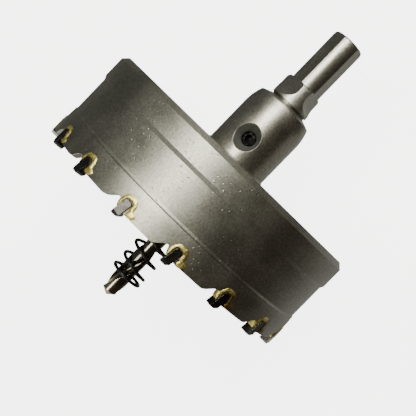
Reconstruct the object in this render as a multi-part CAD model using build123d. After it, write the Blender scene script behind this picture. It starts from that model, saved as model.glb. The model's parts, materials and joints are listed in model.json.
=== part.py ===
from build123d import *
from math import cos, pi, radians, sin, tan
import os

# A hole saw with carbide tips. It is drawn upright on Z: the cup's back face is at zero, the shank
# points up and the teeth point down. At the end it is laid on its side, as it would come to rest.
# Sizes are in mm and angles in degrees. Azimuths are counted from the side that ends up on top.

OVERRUN = 1.0  # how far a cutter runs past what it cuts

# Cup
CUTTING_DIAMETER = 100.0  # across the carbide tips
TIP_STANDOUT = 0.45  # the tips stand proud of the rim band by this much
CUP_DEPTH = 32.9  # back face to rim
WALL = 2.7  # at the rim band
BACK_PLATE = 6.0
INNER_CORNER = 2.5
BACK_CHAMFER = 0.7
BACK_BAND_LENGTH = 9.2
BACK_BAND_EXTRA = 0.05  # the back band's radius over the rim band's
RELIEF_DEPTH = 0.6  # the turned relief between the two bands
BACK_STEP = 0.5  # length of the cone between the back band and the relief
RIM_STEP = 0.75  # length of the cone between the relief and the rim band
RIM_BAND_LENGTH = 9.15
RIM_GROOVE_WIDTH = 0.9  # of the fine groove at the top of the rim band
RIM_GROOVE_DEPTH = 0.2
RIM_BAND_FLARE = 0.2

# Teeth
TOOTH_COUNT = 16
FIRST_TOOTH_AZIMUTH = 5.8
PITCH_SWING = 1.1  # the teeth are spaced unevenly, so that the saw doesn't chatter
SWINGS_PER_TURN = 2
TIP_THICKNESS = 2.6
TIP_LENGTH = 6.15
TIP_REACH = 2.25  # how far the tips stand out past the rim
TIP_LEAN = 9.0
TIP_INSIDE_STANDOUT = 0.25
TIP_RELIEF = 8.0
TIP_SIDE_RELIEF = 3.0
TIP_ROOT_CORNER = 0.45
TIP_HEEL_WIDTH = 0.85
TIP_HEEL_HEIGHT = 1.05
TIP_BEVEL_HEIGHT = 1.5
TIP_BEVEL_DEPTH = 0.5
GULLET_LENGTH = 6.8
GULLET_DEPTH = 2.9
GULLET_HOLLOW = 1.3  # from the gullet's deepest point to the tip's face
GULLET_LIP = 2.45  # depth of the gullet at the tip's face
GULLET_EASE = 0.45  # share of the ramp over which it leaves the rim and over which it meets the hollow

# Braze
BRAZE_GAP = 0.15
BEAD_HEIGHT = 0.25  # over the rim band
BEAD_FRONT = 0.8  # width ahead of the tip
BEAD_CROWN = 1.35  # width above the tip's root
BEAD_BACK = 1.35  # width behind the tip
BEAD_TAIL = 3.6  # spread along the rim behind the tip
BEAD_TAIL_HEIGHT = 2.3
BEAD_TAIL_END = 0.9  # height of the tail at its far end
BEAD_CORNER = 0.8
POOL_FACE = 1.7  # the pool in the gullet: how far it climbs the tip's face
POOL_FLOOR = 1.5  # and how far it runs along the gullet's floor
POOL_SAG = 0.35

# Arbor
HUB_DIAMETER = 23.0
HUB_LENGTH = 24.5
HUB_STRAIGHT = 16.5
HUB_SHOULDER_HEIGHT = 23.3
HUB_SHOULDER_DROP = 1.25  # how far the hub has closed in at its shoulder
HUB_FOOT = 0.5
SPIGOT_DIAMETER = 16.0
SPIGOT_STANDOUT = 1.0  # past the back plate's inner face
SPIGOT_CHAMFER = 0.5
NECK_DIAMETER = 14.5
NECK_LENGTH = 8.6
NECK_ROUND = 1.35
NECK_GROOVE_WIDTH = 0.8
NECK_GROOVE_DEPTH = 0.5
SHANK_DIAMETER = 11.5
SHANK_LENGTH = 20.5
SHANK_ROUND = 1.1
FLAT_COUNT = 3
FLAT_DISTANCE = 5.0  # from the axis
FLAT_RUNOUT = 5.6  # the flats start to run out this far above the hub
RUNOUT_RADIUS = 5.0  # of the cutter that milled them
RUNOUT_REACH = 0.3  # the cutter's edge stays this far outside the neck
ROUND_AZIMUTH = 5.5  # middle of the round stretch between two flats

# Grub screw and its hole
SCREW_AZIMUTH = -14.0
SCREW_HEIGHT = 8.0
SCREW_DIAMETER = 5.0
SCREW_CLEARANCE = 0.05
SCREW_SUNK = 4.0  # from the hub's crown down to the screw's face
SCREW_CHAMFER = 0.4
SCREW_POINT_DIAMETER = 3.4
SCREW_POINT_LENGTH = 1.2
SOCKET_WIDTH = 2.5
SOCKET_DEPTH = 2.4
MOUTH_DIAMETER = 9.9  # where the conical mouth meets the hub's crown
MOUTH_HALF_ANGLE = 33.0

# Pilot drill
DRILL_DIAMETER = 6.0
DRILL_REACH = 61.8  # from the cup's back face to the drill's point
DRILL_SEAT = 21.0  # how far the drill goes into the hub
DRILL_BORE_CLEARANCE = 0.02
DRILL_BORE_ROOM = 0.5
DRILL_FLAT_DEPTH = 0.5
DRILL_FLAT_LENGTH = 10.0
DRILL_REAR_CHAMFER = 0.4
DRILL_POINT_ANGLE = 118.0
FLUTE_START = 12.0  # below the cup's back face
FLUTE_RUNOUT = 7.0  # over which the flutes fade out below that
HELIX_ANGLE = 27.0
FLUTE_RADIUS = 1.75
WEB_THICKNESS = 1.0
HEEL_RADIUS = 1.5
HEEL_SHIFT = 1.0
TIP_FLUTE_AZIMUTH = 72.0  # where the flutes face at the corners of the point

# Ejector spring
WIRE_DIAMETER = 1.15
SPRING_DIAMETER = 12.0
SPRING_PITCH = 5.35
SPRING_FRONT = 52.95  # from the cup's back face to the spring's free end
DEAD_TURNS = 0.5
CLOSING_TURNS = 0.7
FREE_END_AZIMUTH = 210.0  # where the wire ends at the free end
SPRING_LEAN = 0.6  # how far the free end hangs to one side
POINTS_PER_TURN = 12

# Worked out from the sizes above
tip_radius = CUTTING_DIAMETER / 2
rim_radius = tip_radius - TIP_STANDOUT
inside_radius = rim_radius - WALL
hub_radius = HUB_DIAMETER / 2
spigot_radius = SPIGOT_DIAMETER / 2
spigot_length = BACK_PLATE + SPIGOT_STANDOUT
neck_radius = NECK_DIAMETER / 2
neck_top = HUB_LENGTH + NECK_LENGTH
shank_radius = SHANK_DIAMETER / 2
shank_top = neck_top + SHANK_LENGTH
screw_radius = SCREW_DIAMETER / 2
screw_face = hub_radius - SCREW_SUNK
drill_radius = DRILL_DIAMETER / 2
bore_radius = drill_radius + DRILL_BORE_CLEARANCE
drill_flat = drill_radius - DRILL_FLAT_DEPTH
drill_lead = pi * DRILL_DIAMETER / tan(radians(HELIX_ANGLE))
point_height = drill_radius / tan(radians(DRILL_POINT_ANGLE / 2))
wire_radius = WIRE_DIAMETER / 2
coil_radius = SPRING_DIAMETER / 2 - wire_radius


def around(azimuth):
    """Turns what is drawn on +X to the given azimuth."""
    return Rot(0, 0, 180 + azimuth)


def tooth_turns():
    """The turn that takes what is drawn on +X to each tooth's place."""
    even = [360 * k / TOOTH_COUNT for k in range(TOOTH_COUNT)]
    return [
        around(FIRST_TOOTH_AZIMUTH + azimuth + PITCH_SWING * sin(radians(SWINGS_PER_TURN * azimuth)))
        for azimuth in even
    ]


# The cup


def cup_blank():
    """The turned cup before its rim is cut."""
    back_radius = rim_radius + BACK_BAND_EXTRA
    relief_radius = rim_radius - RELIEF_DEPTH
    band_top = rim_radius - RIM_BAND_FLARE
    relief_end = CUP_DEPTH - RIM_BAND_LENGTH
    with BuildPart() as cup:
        with BuildSketch(Plane.XZ):
            with BuildLine():
                Polyline(
                    (spigot_radius, -BACK_PLATE),
                    (spigot_radius, 0),
                    (back_radius - BACK_CHAMFER, 0),
                    (back_radius, -BACK_CHAMFER),
                    (back_radius, -BACK_BAND_LENGTH),
                    (relief_radius, -BACK_BAND_LENGTH - BACK_STEP),
                    (relief_radius, -relief_end + RIM_STEP),
                    (band_top, -relief_end),
                    (band_top - RIM_GROOVE_DEPTH, -relief_end - RIM_GROOVE_WIDTH / 2),
                    (band_top, -relief_end - RIM_GROOVE_WIDTH),
                    (rim_radius, -relief_end - RIM_BAND_LENGTH / 2),
                    (rim_radius, -CUP_DEPTH),
                    (inside_radius, -CUP_DEPTH),
                    (inside_radius, -BACK_PLATE - INNER_CORNER),
                )
                JernArc(
                    start=(inside_radius, -BACK_PLATE - INNER_CORNER),
                    tangent=(0, 1),
                    radius=INNER_CORNER,
                    arc_size=90,
                )
                Line((inside_radius - INNER_CORNER, -BACK_PLATE), (spigot_radius, -BACK_PLATE))
            make_face()
        revolve(axis=Axis.Z)
    return cup.part


def radial_prism(outline):
    """An outline drawn on the YZ plane, carried outwards through the wall on the +X side."""
    inner = inside_radius - OVERRUN
    return Pos(inner, 0, 0) * extrude(outline, tip_radius + OVERRUN - inner, dir=(1, 0, 0))


def gullet():
    """The scallop in front of a tip: a smooth ramp up from the rim and a round hollow."""
    face = -TIP_THICKNESS / 2
    hollow = face - GULLET_HOLLOW
    start = face - GULLET_LENGTH
    ease = GULLET_EASE * (hollow - start)
    floor = -CUP_DEPTH + GULLET_DEPTH
    lip = -CUP_DEPTH + GULLET_LIP
    below = -CUP_DEPTH - OVERRUN
    with BuildSketch(Plane.YZ) as outline:
        with BuildLine():
            Bezier((start, -CUP_DEPTH), (start + ease, -CUP_DEPTH), (hollow - ease, floor), (hollow, floor))
            TangentArc((hollow, floor), (face + TIP_ROOT_CORNER, lip), tangent=(1, 0))
            Polyline((face + TIP_ROOT_CORNER, lip), (0, lip), (0, below), (start, below), (start, -CUP_DEPTH))
        make_face()
    return radial_prism(outline.sketch)


def leaning(outline):
    """Sets an outline on the YZ plane into the leaning frame of a tip, whose root is at zero."""
    root = TIP_LENGTH - TIP_REACH
    shift = root * sin(radians(TIP_LEAN))
    lift = root * cos(radians(TIP_LEAN)) - CUP_DEPTH
    return Plane.YZ * Pos(shift, lift) * Rot(0, 0, -TIP_LEAN) * outline


def notch():
    """The slot in the rim that a tip is brazed into."""
    half = TIP_THICKNESS / 2 + BRAZE_GAP
    foot = -TIP_LENGTH - OVERRUN
    corner = half - TIP_ROOT_CORNER
    outline = Polyline(
        (-half, foot),
        (-half, BRAZE_GAP - TIP_ROOT_CORNER),
        (-corner, BRAZE_GAP),
        (corner, BRAZE_GAP),
        (half, BRAZE_GAP - TIP_ROOT_CORNER),
        (half, foot),
        close=True,
    )
    return radial_prism(leaning(make_face(outline)))


def cup():
    """The cup with its notches and gullets."""
    cutters = [turn * cutter for turn in tooth_turns() for cutter in (notch(), gullet())]
    return cup_blank() - cutters


# The carbide tips


def tip_side():
    """A tip seen from outside the cup: leaning, with a relieved end and a ground-off heel."""
    half = TIP_THICKNESS / 2
    corner = half - TIP_ROOT_CORNER
    heel = half - TIP_HEEL_WIDTH
    end = -TIP_LENGTH + (heel + half) * tan(radians(TIP_RELIEF))
    outline = Polyline(
        (-half, -TIP_LENGTH),
        (-half, -TIP_ROOT_CORNER),
        (-corner, 0),
        (corner, 0),
        (half, -TIP_ROOT_CORNER),
        (half, end + TIP_HEEL_HEIGHT),
        (heel, end),
        close=True,
    )
    return leaning(make_face(outline))


def tip_plan():
    """A tip seen from the shank: both side faces fall away behind the cutting face."""
    width = 4 * TIP_THICKNESS
    fall = width * tan(radians(TIP_SIDE_RELIEF))
    inner = inside_radius - TIP_INSIDE_STANDOUT
    lean = TIP_LENGTH * sin(radians(TIP_LEAN))
    front = -TIP_THICKNESS / 2 - lean / 2
    outline = Polyline(
        (inner, front),
        (tip_radius, front),
        (tip_radius - fall, front + width),
        (inner + fall, front + width),
        close=True,
    )
    return extrude(make_face(outline), -2 * CUP_DEPTH, dir=(0, 0, 1))


def tip_bevel():
    """The wedge that is ground off the outer face at a tip's cutting end."""
    end = -CUP_DEPTH - TIP_REACH
    outline = Polyline(
        (tip_radius + TIP_BEVEL_DEPTH, end + 2 * TIP_BEVEL_HEIGHT),
        (tip_radius - 2 * TIP_BEVEL_DEPTH, end - TIP_BEVEL_HEIGHT),
        (tip_radius + TIP_BEVEL_DEPTH, end - TIP_BEVEL_HEIGHT),
        close=True,
    )
    return extrude(Plane.XZ * make_face(outline), 2 * TIP_THICKNESS, both=True)


def tip():
    """One carbide tip, on +X."""
    return (radial_prism(tip_side()) & tip_plan()) - tip_bevel()


# The braze


def bead():
    """The bead outside the wall: ahead of the tip, over its root, down its back and out along the rim."""
    half = TIP_THICKNESS / 2
    rim = TIP_REACH - TIP_LENGTH
    foot = rim - BEAD_CORNER
    outline = Polyline(
        (-half - BEAD_FRONT, foot),
        (-half - BEAD_FRONT, BEAD_CROWN),
        (half + BEAD_BACK, BEAD_CROWN),
        (half + BEAD_BACK, rim + BEAD_TAIL_HEIGHT),
        (half + BEAD_TAIL, rim + BEAD_TAIL_END),
        (half + BEAD_TAIL, foot),
        close=True,
    )
    flat = make_face(outline)
    flat = fillet([corner for corner in flat.vertices() if corner.Y > rim - TIP_ROOT_CORNER], BEAD_CORNER)
    return radial_prism(leaning(flat))


def pool():
    """The braze that has run into the gullet's corner, with a hollow face."""
    face = -TIP_THICKNESS / 2
    lip = TIP_REACH - TIP_LENGTH + GULLET_LIP
    inside = lip + GULLET_DEPTH
    slope = Line((face, lip - POOL_FACE), (face - POOL_FLOOR, lip))
    hollow = SagittaArc(slope @ 0, slope @ 1, POOL_SAG)
    edge = Polyline(slope @ 1, (face - POOL_FLOOR, inside), (0, inside), (0, lip - POOL_FACE), slope @ 0)
    return radial_prism(leaning(make_face([hollow, edge])))


def rim_disc(radius):
    """A disc of the cup's depth, up to a radius."""
    return Pos(0, 0, -CUP_DEPTH) * Cylinder(
        radius, CUP_DEPTH, align=(Align.CENTER, Align.CENTER, Align.MIN)
    )


def braze(blank, one_tip):
    """The braze of one tip, on +X: the bead outside, the filling of the notch, and the pool in the gullet."""
    ring = rim_disc(rim_radius + BEAD_HEIGHT) - rim_disc(inside_radius)
    outside = (bead() & ring) - blank - gullet()
    filling = (notch() & blank) - gullet()
    corner = pool() & ring & gullet()
    return outside + filling + corner - one_tip


# The arbor


def arbor_blank():
    """The turned arbor: spigot, hub, neck and shank."""
    shoulder = hub_radius - HUB_SHOULDER_DROP
    groove = neck_radius - NECK_GROOVE_DEPTH
    round_centre = (neck_radius - NECK_ROUND, neck_top - NECK_ROUND)
    with BuildPart() as arbor:
        with BuildSketch(Plane.XZ):
            with BuildLine():
                Polyline(
                    (0, -spigot_length),
                    (spigot_radius - SPIGOT_CHAMFER, -spigot_length),
                    (spigot_radius, -spigot_length + SPIGOT_CHAMFER),
                    (spigot_radius, 0),
                    (hub_radius + HUB_FOOT, 0),
                    (hub_radius, HUB_FOOT),
                    (hub_radius, HUB_STRAIGHT),
                )
                TangentArc(
                    (hub_radius, HUB_STRAIGHT), (shoulder, HUB_SHOULDER_HEIGHT), tangent=(0, 1)
                )
                Polyline(
                    (shoulder, HUB_SHOULDER_HEIGHT),
                    (neck_radius, HUB_LENGTH),
                    (groove, HUB_LENGTH),
                    (groove, HUB_LENGTH + NECK_GROOVE_WIDTH),
                    (neck_radius, HUB_LENGTH + NECK_GROOVE_WIDTH),
                    (neck_radius, round_centre[1]),
                )
                TangentArc((neck_radius, round_centre[1]), (round_centre[0], neck_top), tangent=(0, 1))
                Polyline(
                    (round_centre[0], neck_top),
                    (shank_radius, neck_top),
                    (shank_radius, shank_top - SHANK_ROUND),
                )
                TangentArc(
                    (shank_radius, shank_top - SHANK_ROUND),
                    (shank_radius - SHANK_ROUND, shank_top),
                    tangent=(0, 1),
                )
                Polyline((shank_radius - SHANK_ROUND, shank_top), (0, shank_top), (0, -spigot_length))
            make_face()
        revolve(axis=Axis.Z)
    return arbor.part


def flat_cutter():
    """What is milled away for one flat of the shank, with the round run-out that the cutter leaves."""
    outer = neck_radius + RUNOUT_REACH
    start = HUB_LENGTH + FLAT_RUNOUT
    past = shank_top + OVERRUN
    depth = outer - FLAT_DISTANCE
    drop = (RUNOUT_RADIUS**2 - (RUNOUT_RADIUS - depth) ** 2) ** 0.5
    with BuildSketch(Plane.XZ) as outline:
        with BuildLine():
            TangentArc((FLAT_DISTANCE, start), (outer, start - drop), tangent=(0, -1))
            Polyline((outer, start - drop), (outer, past), (FLAT_DISTANCE, past), (FLAT_DISTANCE, start))
        make_face()
    return extrude(outline.sketch, neck_radius, both=True)


def drill_bore():
    """The blind bore for the pilot drill, with the cone that the drill bit leaves."""
    top = DRILL_SEAT + DRILL_BORE_ROOM
    outline = Polyline(
        (0, -spigot_length - OVERRUN),
        (bore_radius, -spigot_length - OVERRUN),
        (bore_radius, top),
        (0, top + point_height),
        close=True,
    )
    return revolve(Plane.XZ * make_face(outline), Axis.Z)


def screw_hole():
    """The screw's hole in the side of the hub, on +X, with its wide conical mouth."""
    mouth_radius = MOUTH_DIAMETER / 2
    slope = tan(radians(MOUTH_HALF_ANGLE))
    cone_start = hub_radius - (mouth_radius - screw_radius) / slope
    past = hub_radius + OVERRUN
    outline = Polyline(
        (drill_flat, 0),
        (drill_flat, screw_radius),
        (cone_start, screw_radius),
        (past, mouth_radius + OVERRUN * slope),
        (past, 0),
        close=True,
    )
    return Pos(0, 0, SCREW_HEIGHT) * revolve(Plane.XY * make_face(outline), Axis.X)


def arbor():
    """The finished arbor."""
    body = arbor_blank() - drill_bore() - around(SCREW_AZIMUTH) * screw_hole()
    first = ROUND_AZIMUTH + 180 / FLAT_COUNT
    flats = [around(first + 360 * k / FLAT_COUNT) * flat_cutter() for k in range(FLAT_COUNT)]
    return body - flats


# The grub screw


def grub_screw():
    """The socket set screw, with its point on the drill's flat."""
    radius = screw_radius - SCREW_CLEARANCE
    point_radius = SCREW_POINT_DIAMETER / 2
    outline = Polyline(
        (drill_flat, 0),
        (drill_flat, point_radius),
        (drill_flat + SCREW_POINT_LENGTH, radius),
        (screw_face - SCREW_CHAMFER, radius),
        (screw_face, radius - SCREW_CHAMFER),
        (screw_face, 0),
        close=True,
    )
    body = revolve(Plane.XY * make_face(outline), Axis.X)
    socket_plane = Plane(origin=(screw_face, 0, 0), x_dir=(0, 1, 0), z_dir=(1, 0, 0))
    hexagon = RegularPolygon(SOCKET_WIDTH / 2, 6, major_radius=False)
    socket = extrude(socket_plane * hexagon, -SOCKET_DEPTH)
    return around(SCREW_AZIMUTH) * Pos(0, 0, SCREW_HEIGHT) * (body - socket)


# The pilot drill


def flute():
    """The section of one flute: a round hollow beside the web, opened out towards the heel."""
    hollow = Pos(0, WEB_THICKNESS / 2 + FLUTE_RADIUS) * Circle(FLUTE_RADIUS)
    opening = Pos(-HEEL_SHIFT, drill_radius) * Circle(HEEL_RADIUS)
    return hollow + opening


def drill_point():
    """The cone that the fluted length is ground to."""
    wide = drill_radius + OVERRUN
    slope = tan(radians(DRILL_POINT_ANGLE / 2))
    outline = Polyline(
        (0, -DRILL_REACH),
        (wide, -DRILL_REACH + wide / slope),
        (wide, -FLUTE_START),
        (0, -FLUTE_START),
        close=True,
    )
    return revolve(Plane.XZ * make_face(outline), Axis.Z)


def fluted_length():
    """The twisted two-flute length, from the point to where a cone fills the flutes up."""
    section = Circle(drill_radius) - flute() - Rot(0, 0, 180) * flute()
    length = DRILL_REACH - FLUTE_START
    turn_at_point = TIP_FLUTE_AZIMUTH + 90 - 360 * point_height / drill_lead
    face = (Rot(0, 0, turn_at_point) * section).face()
    twisted = Solid.extrude_linear_with_rotation(
        face, (0, 0, 0), (0, 0, length), 360 * length / drill_lead
    )
    fading = Pos(0, 0, -FLUTE_START) * Cone(
        WEB_THICKNESS / 2, drill_radius, FLUTE_RUNOUT, align=(Align.CENTER, Align.CENTER, Align.MAX)
    )
    return (Pos(0, 0, -DRILL_REACH) * twisted & drill_point()) + fading


def drill_shank():
    """The plain rear length, which the hub holds, with the flat under the screw."""
    outline = Polyline(
        (0, -FLUTE_START),
        (drill_radius, -FLUTE_START),
        (drill_radius, DRILL_SEAT - DRILL_REAR_CHAMFER),
        (drill_radius - DRILL_REAR_CHAMFER, DRILL_SEAT),
        (0, DRILL_SEAT),
        close=True,
    )
    body = revolve(Plane.XZ * make_face(outline), Axis.Z)
    flat = Pos(drill_flat + DRILL_FLAT_DEPTH, 0, SCREW_HEIGHT) * Box(
        2 * DRILL_FLAT_DEPTH, DRILL_DIAMETER, DRILL_FLAT_LENGTH
    )
    return body - around(SCREW_AZIMUTH) * flat


def pilot_drill():
    """The twist drill."""
    return fluted_length() + drill_shank()


# The ejector spring


def rise(turns):
    """How far the wire has climbed after so many turns from an end that starts with a dead turn."""
    climbing = min(max(turns - DEAD_TURNS, 0), CLOSING_TURNS)
    open_turns = max(turns - DEAD_TURNS - CLOSING_TURNS, 0)
    return SPRING_PITCH * (climbing**2 / (2 * CLOSING_TURNS) + open_turns)


def ejector_spring():
    """The left-hand coil, closed at both ends, from its free end back to the arbor's spigot."""
    free_end = -SPRING_FRONT + wire_radius
    height = -spigot_length - wire_radius - free_end
    end_turns = DEAD_TURNS + CLOSING_TURNS
    open_turns = (height - 2 * rise(end_turns)) / SPRING_PITCH
    turns = 2 * end_turns + open_turns
    count = round(turns * POINTS_PER_TURN)
    points = []
    for k in range(count + 1):
        done = turns * k / count
        climbed = rise(done) if done < turns / 2 else height - rise(turns - done)
        angle = radians(180 + FREE_END_AZIMUTH - 360 * done)
        aside = SPRING_LEAN * (1 - done / turns)
        points.append((coil_radius * cos(angle), coil_radius * sin(angle) - aside, free_end + climbed))
    path = Spline(*points)
    section = Plane(origin=path @ 0, z_dir=path % 0) * Circle(wire_radius)
    return sweep(section, path=path, is_frenet=True)


# The whole saw


def laid_down(shape):
    """Lays the upright saw on its side, with the end of the shank at the origin."""
    return Pos(-shank_top, 0, 0) * Rot(0, 90, 0) * shape


def build():
    """Every piece, by name."""
    blank = cup_blank()
    one_tip = tip()
    one_braze = braze(blank, one_tip)
    pieces = {
        "cup": cup(),
        "arbor": arbor(),
        "grub_screw": grub_screw(),
        "pilot_drill": pilot_drill(),
        "ejector_spring": ejector_spring(),
    }
    for number, turn in enumerate(tooth_turns(), start=1):
        pieces[f"tooth_{number:02d}"] = turn * one_tip
        pieces[f"braze_{number:02d}"] = turn * one_braze
    return {name: laid_down(shape) for name, shape in pieces.items()}


os.makedirs("parts", exist_ok=True)
for name, shape in build().items():
    export_step(shape, f"parts/{name}.step")
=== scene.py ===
"""A hole saw with brazed carbide tips, lying on its side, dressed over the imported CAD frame.

Lengths are in metres and scales of noise are per metre, unless a docstring says otherwise.
"""

import json
import logging
from collections.abc import Mapping, Sequence
from dataclasses import dataclass
from enum import Enum
from math import cos, hypot, pi, radians, sin, tan

import bmesh
import bpy
from mathutils import Matrix, Vector

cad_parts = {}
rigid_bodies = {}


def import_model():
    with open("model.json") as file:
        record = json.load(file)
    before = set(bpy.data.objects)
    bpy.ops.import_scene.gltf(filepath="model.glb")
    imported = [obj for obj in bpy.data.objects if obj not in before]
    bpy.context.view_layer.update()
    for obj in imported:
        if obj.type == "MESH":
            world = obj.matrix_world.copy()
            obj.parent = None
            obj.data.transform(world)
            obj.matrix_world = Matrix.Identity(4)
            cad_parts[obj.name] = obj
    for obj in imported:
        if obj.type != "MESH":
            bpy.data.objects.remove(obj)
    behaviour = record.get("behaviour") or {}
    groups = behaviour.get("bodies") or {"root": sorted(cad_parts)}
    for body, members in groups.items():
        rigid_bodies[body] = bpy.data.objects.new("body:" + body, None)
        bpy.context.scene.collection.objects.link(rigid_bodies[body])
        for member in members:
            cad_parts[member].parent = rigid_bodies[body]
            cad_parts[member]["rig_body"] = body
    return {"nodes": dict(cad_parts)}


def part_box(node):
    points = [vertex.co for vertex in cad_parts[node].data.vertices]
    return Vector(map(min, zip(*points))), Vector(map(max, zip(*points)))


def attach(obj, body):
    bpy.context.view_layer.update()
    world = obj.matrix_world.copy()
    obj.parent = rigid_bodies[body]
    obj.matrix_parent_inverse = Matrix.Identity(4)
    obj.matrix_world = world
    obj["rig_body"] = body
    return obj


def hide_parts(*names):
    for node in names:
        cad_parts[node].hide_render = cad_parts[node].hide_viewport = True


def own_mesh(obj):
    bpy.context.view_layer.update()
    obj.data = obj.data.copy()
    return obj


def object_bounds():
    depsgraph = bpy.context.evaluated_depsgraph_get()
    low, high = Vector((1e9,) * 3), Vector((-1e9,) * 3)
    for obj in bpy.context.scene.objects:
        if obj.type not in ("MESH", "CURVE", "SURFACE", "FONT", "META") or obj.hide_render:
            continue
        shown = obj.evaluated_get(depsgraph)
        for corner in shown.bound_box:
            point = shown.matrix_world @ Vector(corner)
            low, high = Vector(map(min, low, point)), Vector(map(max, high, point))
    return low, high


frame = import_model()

for item in list(bpy.data.objects):
    if "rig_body" not in item and not item.name.startswith("body:"):
        bpy.data.objects.remove(item)
cad_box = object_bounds()

LOG = logging.getLogger("hole saw")
MM = 0.001
NOISE = (0.3, 0.7)  # nearly all of a noise texture's values lie in this range

Socket = bpy.types.NodeSocket
Value = float | Sequence[float] | Socket
Inputs = Mapping[str | int, Value]
Colour = tuple[float, float, float, float]
Place = tuple[float, float, float]
Pair = tuple[float, float]


class Body(Enum):
    """The CAD body that the scene's own pieces ride on."""

    SAW = "saw"


class Tree(Enum):
    """The kinds of node tree."""

    SHADER = "ShaderNodeTree"
    GEOMETRY = "GeometryNodeTree"


class Kind(Enum):
    """The kinds of socket that a node group has, under Blender's own names."""

    VALUE = "NodeSocketFloat"
    INT = "NodeSocketInt"
    RGBA = "NodeSocketColor"
    VECTOR = "NodeSocketVector"
    GEOMETRY = "NodeSocketGeometry"


# Node trees


def live(sockets: Sequence[Socket], kind: str) -> list[Socket]:
    """The sockets of one kind that a node shows."""
    return [socket for socket in sockets if socket.type == kind and socket.enabled]


class Graph:
    """Adds nodes to one tree and joins them."""

    def __init__(self, tree: bpy.types.NodeTree) -> None:
        """Keeps the tree that the nodes go into."""
        self.tree = tree

    def feed(self, socket: Socket, value: Value) -> None:
        """Links a socket to another, or sets its own value.

        Args:
            socket: The socket.
            value: What goes into it.
        """
        if isinstance(value, bpy.types.NodeSocket):
            self.tree.links.new(value, socket)
        else:
            socket.default_value = value

    def add(self, kind: str, inputs: Inputs | None = None, **settings: object) -> bpy.types.Node:
        """Adds one node.

        Args:
            kind: Blender's name for the node's type.
            inputs: What goes into its sockets, by name or number.
            settings: The node's own properties.

        Returns:
            The node.
        """
        node = self.tree.nodes.new(kind)
        for name, value in settings.items():
            setattr(node, name, value)
        for name, value in (inputs or {}).items():
            self.feed(node.inputs[name], value)
        return node

    def make(self, kind: str, inputs: Inputs | None = None, **settings: object) -> Socket:
        """Adds one node and gives its first output."""
        return self.add(kind, inputs, **settings).outputs[0]

    def use(self, tree: bpy.types.NodeTree, inputs: Inputs | None = None) -> Mapping[str, Socket]:
        """Adds a shader node group and gives its outputs."""
        return self.add("ShaderNodeGroup", inputs, node_tree=tree).outputs

    def math(self, operation: str, *values: Value, clamp: bool = False) -> Socket:
        """Adds a Math node and gives its result."""
        return self.make("ShaderNodeMath", dict(enumerate(values)), operation=operation, use_clamp=clamp)

    def plus(self, first: Value, second: Value) -> Socket:
        """Adds two values."""
        return self.math("ADD", first, second)

    def minus(self, first: Value, second: Value) -> Socket:
        """Takes the second value from the first."""
        return self.math("SUBTRACT", first, second)

    def times(self, first: Value, second: Value, clamp: bool = False) -> Socket:
        """Multiplies two values."""
        return self.math("MULTIPLY", first, second, clamp=clamp)

    def over(self, first: Value, second: Value) -> Socket:
        """Divides the first value by the second."""
        return self.math("DIVIDE", first, second)

    def length(self, first: Socket, second: Socket) -> Socket:
        """The length of a flat vector."""
        return self.math("SQRT", self.plus(self.times(first, first), self.times(second, second)))

    def ramp(self, value: Value, low: Value, high: Value, start: Value = 0.0, end: Value = 1.0) -> Socket:
        """A smooth step.

        Args:
            value: What is read.
            low: Where the step starts.
            high: Where it ends.
            start: The result at low.
            end: The result at high.

        Returns:
            The stepped value.
        """
        inputs = {"Value": value, "From Min": low, "From Max": high, "To Min": start, "To Max": end}
        return self.add("ShaderNodeMapRange", inputs, interpolation_type="SMOOTHSTEP").outputs["Result"]

    def mix(self, factor: Value, first: Value, second: Value, blend: str = "MIX") -> Socket:
        """Mixes two colours.

        Args:
            factor: How much of the second there is.
            first: The first colour.
            second: The second.
            blend: How they mix.

        Returns:
            The mixed colour.
        """
        settings = {"data_type": "RGBA", "blend_type": blend, "clamp_factor": True}
        node = self.add("ShaderNodeMix", {"Factor": factor}, **settings)
        for socket, value in zip(live(node.inputs, "RGBA"), (first, second)):
            self.feed(socket, value)
        return live(node.outputs, "RGBA")[0]

    def grey(self, tone: Socket) -> Socket:
        """A grey of this tone."""
        return self.make("ShaderNodeCombineColor", {0: tone, 1: tone, 2: tone})

    def noise(self, place: Value, scale: Value, detail: float = 2.0, roughness: float = 0.5) -> Socket:
        """A noise value from 0 to 1 round a place."""
        inputs = {"Vector": place, "Scale": scale, "Detail": detail, "Roughness": roughness}
        return self.add("ShaderNodeTexNoise", inputs).outputs["Fac"]

    def place(self) -> Socket:
        """The surface's own place in the object."""
        return self.add("ShaderNodeTexCoord").outputs["Object"]

    def normal(self) -> Socket:
        """The surface's own direction, with its relief left out."""
        return self.add("ShaderNodeNewGeometry").outputs["Normal"]

    def split(self, vector: Socket) -> Sequence[Socket]:
        """The three parts of a vector."""
        return self.add("ShaderNodeSeparateXYZ", {0: vector}).outputs

    def join(self, *parts: Value) -> Socket:
        """A vector from its parts."""
        return self.make("ShaderNodeCombineXYZ", dict(enumerate(parts)))


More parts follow.
